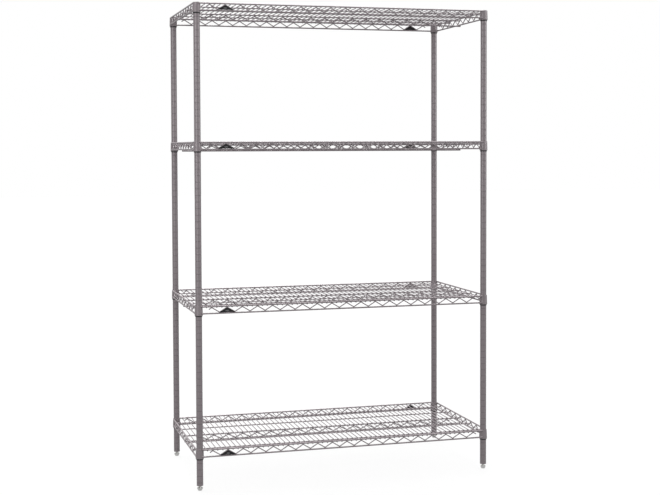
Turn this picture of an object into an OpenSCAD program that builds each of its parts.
// Wire shelving rack: four grooved tube posts, tapered split sleeves, four welded wire shelves
// that lower onto the sleeves, and a screw foot in each post.
// Millimetres. Z is up, the front faces -Y, and the origin is on the floor under the middle.

/* [Rack] */
// Distance between the post axes along the width
span_x = 1187; // [800:1:1400]
// Distance between the post axes from front to back
span_y = 577; // [500:1:650]
// Grooves from the foot of a post up to the sleeves of the bottom shelf
bottom_step = 4; // [2:1:10]
// Grooves from the foot of a post up to the sleeves of the lower shelf
lower_step = 26; // [20:1:32]
// Grooves from the foot of a post up to the sleeves of the upper shelf
upper_step = 51; // [44:1:56]
// Grooves from the foot of a post up to the sleeves of the top shelf
top_step = 72; // [66:1:80]

/* [Posts] */
// Outside diameter of a post
post_d = 25.4; // [25:0.1:26]
// Wall thickness of a post
post_wall = 1.2; // [1:0.1:1.6]
// Distance from one groove to the next
groove_pitch = 25.4; // [20:0.1:30]
// Depth of a rolled groove
groove_depth = 0.5; // [0.4:0.05:0.7]
// Width of a rolled groove at the surface of the post
groove_w = 2.4; // [2:0.1:3]

/* [Sleeves and collars] */
// Height of a split sleeve
sleeve_h = 40.5; // [38:0.5:41.5]
// Outside diameter of a sleeve at its foot
sleeve_foot_d = 28.4; // [28.2:0.1:28.8]
// Outside diameter of a sleeve at its top
sleeve_top_d = 27.1; // [26.8:0.1:27.2]
// Height of the sleeve that shows under the collar
sleeve_show = 4.3; // [3:0.1:6]
// Height of a shelf's corner collar
collar_h = 38; // [37:0.5:40]
// Outside diameter of a collar at its foot
collar_foot_d = 32.6; // [32:0.1:34]
// Outside diameter of a collar at its top
collar_top_d = 30.2; // [29.8:0.1:31]

/* [Shelf wires] */
// Diameter of the top wire of an edge truss
top_wire_d = 6.3; // [5.8:0.1:6.6]
// Diameter of the bottom wire of an edge truss, and of both wires of the middle truss
bottom_wire_d = 6; // [5.5:0.1:6.3]
// Diameter of the zigzag wire
zigzag_d = 4.2; // [3.8:0.1:4.5]
// Diameter of a deck wire
deck_wire_d = 3.4; // [3:0.1:3.6]
// Diameter of a rib under the deck
rib_d = 4.8; // [4.4:0.1:5]
// Height of an edge truss from wire axis to wire axis
truss_h = 27.2; // [26:0.1:28]
// Distance from one crest of the zigzag to the next
zigzag_pitch = 60.5; // [58:0.5:64]
// Bend radius of the zigzag wire at its axis
zigzag_bend_r = 4.5; // [3.5:0.1:5]
// Deck wires in each pitch of the zigzag
deck_per_pitch = 3; // [2:1:4]

/* [Feet] */
// Height of the foot of a post above the floor
foot_h = 19; // [18:0.5:24]
// Diameter of the foot's threaded stud
stud_d = 9.5; // [8:0.1:10]
// Width across the flats of the foot's hexagon
hex_w = 19; // [17:0.5:22]
// Height of the hexagon
hex_h = 7.5; // [6:0.5:9]
// Height of the pad under the hexagon
pad_h = 5; // [4:0.5:6]

/* [Hidden] */
$fn = 48;
steps = [bottom_step, lower_step, upper_step, top_step];
shelf_names = ["bottom_shelf", "lower_shelf", "upper_shelf", "top_shelf"];
shelf_parts = ["collars", "front_truss", "rear_truss", "left_truss", "right_truss",
    "middle_truss", "deck_mat", "blank_badges", "split_sleeves"];
corner_names = ["front_left", "front_right", "rear_left", "rear_right"];
corner_parts = ["post", "post_cap", "foot_insert", "levelling_foot"];

coat = [0.50, 0.45, 0.47];
zinc = [0.78, 0.78, 0.77];
black = [0.08, 0.08, 0.08];

weld_gap = 0.03;         // between two welded wires, so that each stays a solid of its own
bend_swell = 0.03;       // a bend of the zigzag is this much thicker than its legs, and
bend_lap = 0.08;         // each leg runs this far into it, so that they join
weld_nugget = 1.2;       // size of the weld that joins a deck wire to a rib
fit_gap = 0.05;          // between a pressed piece and its seat
slide_gap = 0.25;        // between a sleeve and the collar that lowers onto it
post_r = post_d / 2;
bore_r = post_r - post_wall;
corners = [for (y = [-1, 1], x = [-1, 1]) [x * span_x / 2, y * span_y / 2]];

// Heights: each collar's rim is the level of its shelf
function sleeve_z(step) = foot_h + step * groove_pitch;
function collar_z(step) = sleeve_z(step) + sleeve_show;
function rim_z(step) = collar_z(step) + collar_h;
cap_h = 3;
cap_above_rim = 1.7;
post_top = rim_z(top_step) + cap_above_rim - cap_h;
post_h = post_top - foot_h;
groove_count = floor(post_h / groove_pitch);

// Shelf heights below its rim, to the axis of each wire
top_wire_drop = 3;
bottom_wire_drop = top_wire_drop + truss_h;
deck_drop = top_wire_drop + (top_wire_d + deck_wire_d) / 2 + weld_gap;
rib_drop = deck_drop + (deck_wire_d + rib_d) / 2 + weld_gap;
middle_top_drop = deck_drop + (deck_wire_d + bottom_wire_d) / 2 + weld_gap;
middle_bottom_drop = bottom_wire_drop + bottom_wire_d + weld_gap;

// Edge trusses stand outside the post axes, flush with the outside of the collars
truss_out = collar_foot_d / 2 - top_wire_d / 2 - 0.1;
truss_x = span_x / 2 + truss_out;
truss_y = span_y / 2 + truss_out;
wire_end_in = 8;         // an edge wire stops this far outside the post axis
crests_x = 2 * floor((span_x - 96) / (2 * zigzag_pitch)) + 1;
crests_y = 2 * floor((span_y - 90) / (2 * zigzag_pitch)) + 1;
zigzag_stub = 11;        // length of the cut end beyond the last crest
rib_places = [-2, -1, 1, 2] * (2 * truss_y / 5);
deck_space = zigzag_pitch / deck_per_pitch;
deck_half_count = floor((span_x / 2 - deck_wire_d) / deck_space);
deck_places = [for (i = [-deck_half_count : deck_half_count]) i * deck_space];

// Badge wedged under the second crest from the end
badge_place = (crests_x - 3) / 2 * zigzag_pitch;
badge_t = 1.8;
badge_corner_r = 1.6;
badge_peak_r = 4;
badge_peak_drop = 3.6;   // from the top of the crest to the badge's peak
clip_wall = 1.2;

function arc(c, r, a0, a1, n = 8) =
    [for (i = [0 : n]) c + r * [cos(a0 + (a1 - a0) * i / n), sin(a0 + (a1 - a0) * i / n)]];

// ---------------------------------------------------------------- posts and feet

// Outline of the post's outside, from its foot to its top, with a V-bottomed groove at each pitch
function groove(z) = [[post_r, z - groove_w / 2], [post_r - groove_depth, z - groove_w / 5],
    [post_r - groove_depth, z + groove_w / 5], [post_r, z + groove_w / 2]];

module post() {
    outside = [for (i = [0 : groove_count - 1]) each groove((i + 0.5) * groove_pitch)];
    color(coat) translate([0, 0, foot_h]) rotate_extrude()
        polygon(concat([[bore_r, 0], [post_r, 0]], outside, [[post_r, post_h], [bore_r, post_h]]));
}

// Push-in cap: a low dome on a ribbed plug. It is narrower than the collars, which pass over it.
module post_cap() {
    head_r = post_r - 0.1;
    plug_r = bore_r - fit_gap;
    dome = arc([head_r - 1.4, cap_h - 1.4], 1.4, 0, 90);
    barb = 2.5;
    plug = [for (i = [0 : 3]) each [[plug_r - 0.6, -i * barb - 1.2], [plug_r, -i * barb - 1.4],
        [plug_r - 0.6, -(i + 1) * barb - 1]]];
    color(coat) translate([0, 0, post_top]) rotate_extrude()
        polygon(concat([[0, cap_h]], [for (i = [len(dome) - 1 : -1 : 0]) dome[i]],
            [[head_r, 0], [plug_r - 0.6, 0]], plug,
            [[plug_r - 2, -5 * barb], [plug_r - 2, 0.8], [0, 0.8]]));
}

// Threaded insert pressed into the foot of the post
insert_h = 20;
module foot_insert() {
    color(zinc) translate([0, 0, foot_h + 0.2]) difference() {
        rotate_extrude() polygon(concat([[0, 0]],
            arc([bore_r - fit_gap - 0.8, 0.8], 0.8, -90, 0, 4), arc([bore_r - fit_gap - 0.8, insert_h - 0.8],
            0.8, 0, 90, 4), [[0, insert_h]]));
        translate([0, 0, -1]) cylinder(r = stud_d / 2 + 0.15, h = insert_h + 2);
    }
}

// Stud with its thread as rings, h tall from the hexagon up
module stud(h) {
    r = stud_d / 2;
    pitch = 1.6;
    turns = floor((h - 1) / pitch);
    thread = [for (i = [0 : turns - 1]) each [[r - 0.8, i * pitch + 0.1], [r - 0.8, i * pitch + 0.3],
        [r, i * pitch + 0.9], [r, i * pitch + 1.1], [r - 0.8, (i + 1) * pitch]]];
    rotate_extrude() polygon(concat([[0, -0.2], [r - 0.8, -0.2]], thread, [[r - 0.8, h], [0, h]]));
}

// Levelling foot: stud, chamfered hexagon and round pad in one piece
module levelling_foot() {
    stud_top = foot_h + insert_h + 6;
    color(zinc) union() {
        rotate_extrude() polygon(concat([[0, 0]], arc([hex_w / 2 - 3.2, 1.6], 1.6, -90, 0, 5),
            [[hex_w / 2 - 0.8, pad_h], [0, pad_h]]));
        intersection() {
            translate([0, 0, pad_h]) cylinder(d = hex_w / cos(30), h = hex_h, $fn = 6);
            translate([0, 0, pad_h]) rotate_extrude() polygon([[0, 0], [hex_w / 2 - 0.2, 0],
                [hex_w / 2 + 2, 1.2], [hex_w / 2 + 2, hex_h - 1.2], [hex_w / 2 - 0.2, hex_h], [0, hex_h]]);
        }
        translate([0, 0, pad_h + hex_h]) stud(stud_top - pad_h - hex_h);
    }
}

// ---------------------------------------------------------------- sleeves and collars

function sleeve_r(z) = (sleeve_foot_d + (sleeve_top_d - sleeve_foot_d) * z / sleeve_h) / 2;

// Two half shells that clamp on the post, with a ridge inside that sits in a groove
module split_sleeve() {
    inner_r = post_r + fit_gap;
    ridge = [[inner_r, groove_pitch / 2 - 0.8], [inner_r - 0.4, groove_pitch / 2 - 0.3],
        [inner_r - 0.4, groove_pitch / 2 + 0.3], [inner_r, groove_pitch / 2 + 0.8]];
    rings = 10;
    ring_places = [for (i = [rings : -1 : 0]) 0.5 + i * (sleeve_h - 1.1) / rings];
    slit = 0.6;
    color(black) difference() {
        rotate_extrude() polygon(concat([[inner_r, 0]], ridge,
            [[inner_r, sleeve_h], [sleeve_r(sleeve_h) - 0.2, sleeve_h]],
            [for (z = ring_places) [sleeve_r(z), z]], [[sleeve_r(0) - 0.5, 0]]));
        translate([-post_d, -slit / 2, -1]) cube([2 * post_d, slit, sleeve_h + 2]);
    }
}

// Outer outline of a collar, grown by g, from foot to rim
function collar_outline(g = 0) = concat(
    arc([collar_foot_d / 2 - 1.2, 1.2], 1.2 + g, -60, 0, 4),
    arc([collar_top_d / 2 - 0.8, collar_h - 0.8], 0.8 + g, 0, 90, 4));

module collar() {
    foot_r = sleeve_r(sleeve_show) + slide_gap;
    top_r = sleeve_r(sleeve_show + collar_h) + slide_gap;
    color(coat) rotate_extrude()
        polygon(concat([[foot_r, 0.16]], collar_outline(), [[top_r, collar_h]]));
}

// What an edge wire is cut back to where it meets a collar
module collar_space() {
    rotate_extrude() polygon(concat([[0, -1], [collar_foot_d / 2 - 0.6, -1]], collar_outline(weld_gap),
        [[0, collar_h + weld_gap]]));
}

module at_corners() {
    for (c = corners) translate([c.x, c.y, 0]) children();
}

// ---------------------------------------------------------------- shelf wires

// A straight wire along X, centred on the origin
module wire(length, d) {
    rotate([0, 90, 0]) cylinder(d = d, h = length, center = true);
}

// Slope of the zigzag's legs, for crests r round, h high over half a pitch p
function leg_slope(p, h, r) = atan2(h - 2 * r, p) + asin(2 * r / norm([p, h - 2 * r]));

// Zigzag along X in the XZ plane: its crests touch z = top, its troughs touch z = bottom
module zigzag(crests, top, bottom) {
    half = zigzag_pitch / 2;
    crest_z = top - zigzag_d / 2 - weld_gap;
    trough_z = bottom + zigzag_d / 2 + weld_gap;
    height = crest_z - trough_z;
    r = zigzag_bend_r;
    slope = leg_slope(half, height, r);
    leg = norm([half - 2 * r * sin(slope), height - 2 * r * (1 - cos(slope))]);
    first = -(crests - 1) * half;
    for (i = [0 : 2 * crests - 2]) {
        up = i % 2 == 0 ? 1 : -1;
        turn_z = up > 0 ? crest_z - r : trough_z + r;
        // the bend
        translate([first + i * half, 0, turn_z]) rotate([90, 0, 0])
            rotate([0, 0, up * 90 - slope]) rotate_extrude(angle = 2 * slope)
                translate([r, 0]) circle(d = zigzag_d + bend_swell);
        // the leg to the next bend
        if (i < 2 * crests - 2)
            translate([first + (i + 0.5) * half, 0, (crest_z + trough_z) / 2])
                rotate([0, up * slope, 0]) wire(leg + 2 * bend_lap, zigzag_d);
    }
    // the two cut ends
    mid = (zigzag_stub - bend_lap) / 2;
    for (side = [-1, 1])
        translate([side * (-first + r * sin(slope) + mid * cos(slope)), 0,
            crest_z - r * (1 - cos(slope)) - mid * sin(slope)])
            rotate([0, side * slope, 0]) wire(zigzag_stub + bend_lap, zigzag_d);
}

// Edge truss along X, with its wires' heights measured down from the rim of the shelf
module edge_truss(span, crests) {
    length = span - 2 * wire_end_in;
    translate([0, 0, -top_wire_drop]) wire(length, top_wire_d);
    translate([0, 0, -bottom_wire_drop]) wire(length, bottom_wire_d);
    zigzag(crests, -top_wire_drop - top_wire_d / 2, -bottom_wire_drop + bottom_wire_d / 2);
}

// side: -1 for the front truss, 1 for the rear truss
module long_truss(side) {
    color(coat) difference() {
        translate([0, side * truss_y, 0]) edge_truss(span_x, crests_x);
        for (x = [-1, 1]) translate([x * span_x / 2, side * span_y / 2, -collar_h]) collar_space();
    }
}

// side: -1 for the left truss, 1 for the right truss
module short_truss(side) {
    color(coat) difference() {
        translate([side * truss_x, 0, 0]) rotate([0, 0, 90]) edge_truss(span_y, crests_y);
        for (y = [-1, 1]) translate([side * span_x / 2, y * span_y / 2, -collar_h]) collar_space();
    }
}

// Middle truss: its top wire carries the deck, its bottom wire is welded under the side trusses
module middle_truss() {
    top_length = 2 * (truss_x - zigzag_d / 2 - weld_gap);
    color(coat) {
        translate([0, 0, -middle_top_drop]) wire(top_length, bottom_wire_d);
        translate([0, 0, -middle_bottom_drop]) wire(2 * truss_x, bottom_wire_d);
        zigzag(crests_x, -middle_top_drop - bottom_wire_d / 2, -middle_bottom_drop + bottom_wire_d / 2);
    }
}

// Half length of the deck wire at x: under the long top wires, up to the inside of a crest of the
// zigzag where there is one, or up to the collars at the ends
function on_crest(x) = let (place = x / zigzag_pitch)
    abs(place) < crests_x / 2 && abs(place - round(place)) * zigzag_pitch < deck_wire_d;
function deck_reach(x) =
    let (off = span_x / 2 - abs(x), r = collar_foot_d / 2 + weld_gap, near = max(off - deck_wire_d / 2, 0))
    near <= r ? span_y / 2 - sqrt(r * r - near * near)
        : on_crest(x) ? truss_y - zigzag_d / 2 - weld_gap : truss_y + 0.5;

// Deck mat: wires front to back, on four ribs that run from side to side
module deck_mat() {
    weld_z = -(deck_drop + rib_drop) / 2 + (rib_d - deck_wire_d) / 4;
    color(coat) {
        for (y = rib_places)
            translate([0, y, -rib_drop]) wire(2 * (truss_x - zigzag_d / 2 - weld_gap), rib_d);
        for (x = deck_places) {
            translate([x, 0, -deck_drop]) rotate([0, 0, 90]) wire(2 * deck_reach(x), deck_wire_d);
            for (y = rib_places) translate([x, y, weld_z]) cube(weld_nugget, center = true);
        }
    }
}

// Outline of a badge, drawn in by g: a triangle with a round peak at peak_z and its base at base_z
module badge_outline(base_z, peak_z, g = 0) {
    half = zigzag_pitch / 2;
    hull() {
        for (x = [-1, 1]) translate([x * (half - badge_corner_r - 1.6 * g), base_z + badge_corner_r])
            circle(badge_corner_r - g, $fn = 32);
        translate([0, peak_z - badge_peak_r]) circle(badge_peak_r - g, $fn = 32);
    }
}

// Blank badge on the front truss: a plate with a raised rim under a crest of the zigzag. Behind it
// a block with a hollow edge bears on the underside of each leg.
module badge() {
    half = zigzag_pitch / 2;
    crest_z = -top_wire_drop - top_wire_d / 2 - zigzag_d / 2 - weld_gap;
    trough_z = -bottom_wire_drop + bottom_wire_d / 2 + zigzag_d / 2 + weld_gap;
    slope = leg_slope(half, crest_z - trough_z, zigzag_bend_r);
    base_z = trough_z - zigzag_d / 2 + 0.3;
    peak_z = crest_z + zigzag_d / 2 - badge_peak_drop;
    back = zigzag_d / 2 + fit_gap;
    clip_h = 12;
    clip_top = -0.5;
    color(black) difference() {
        union() {
            translate([0, -back, 0]) rotate([90, 0, 0]) linear_extrude(badge_t)
                badge_outline(base_z, peak_z);
            for (x = [-1, 1]) translate([x * half / 2, 0, (crest_z + trough_z) / 2])
                rotate([0, x * slope, 0])
                    translate([x * 1.5 - clip_h / 2, -back - 0.2, -zigzag_d / 2 - clip_wall])
                        cube([clip_h, back + 1.2, zigzag_d / 2 + clip_wall + clip_top]);
        }
        for (x = [-1, 1]) translate([x * half / 2, 0, (crest_z + trough_z) / 2])
            rotate([0, x * slope, 0]) wire(2 * half, zigzag_d + 2 * fit_gap);
        translate([0, -back - badge_t + 0.5, 0]) rotate([90, 0, 0]) linear_extrude(1)
            badge_outline(base_z, peak_z, 1.2);
    }
}

// One badge near the left end of the front truss and one near the right end of the rear truss
module blank_badges() {
    translate([-badge_place, -truss_y, 0]) badge();
    translate([badge_place, truss_y, 0]) rotate([0, 0, 180]) badge();
}

// ---------------------------------------------------------------- nodes

for (i = [0 : 3]) translate([corners[i].x, corners[i].y, 0]) {
    name = corner_names[i];
    post();
    post_cap();
    foot_insert();
    levelling_foot();
}

for (i = [0 : 3]) {
    name = shelf_names[i];
    translate([0, 0, rim_z(steps[i])]) {
        at_corners() translate([0, 0, -collar_h]) collar();
        long_truss(-1);
        long_truss(1);
        short_truss(-1);
        short_truss(1);
        middle_truss();
        deck_mat();
        blank_badges();
    }
    translate([0, 0, sleeve_z(steps[i])]) at_corners() split_sleeve();
}
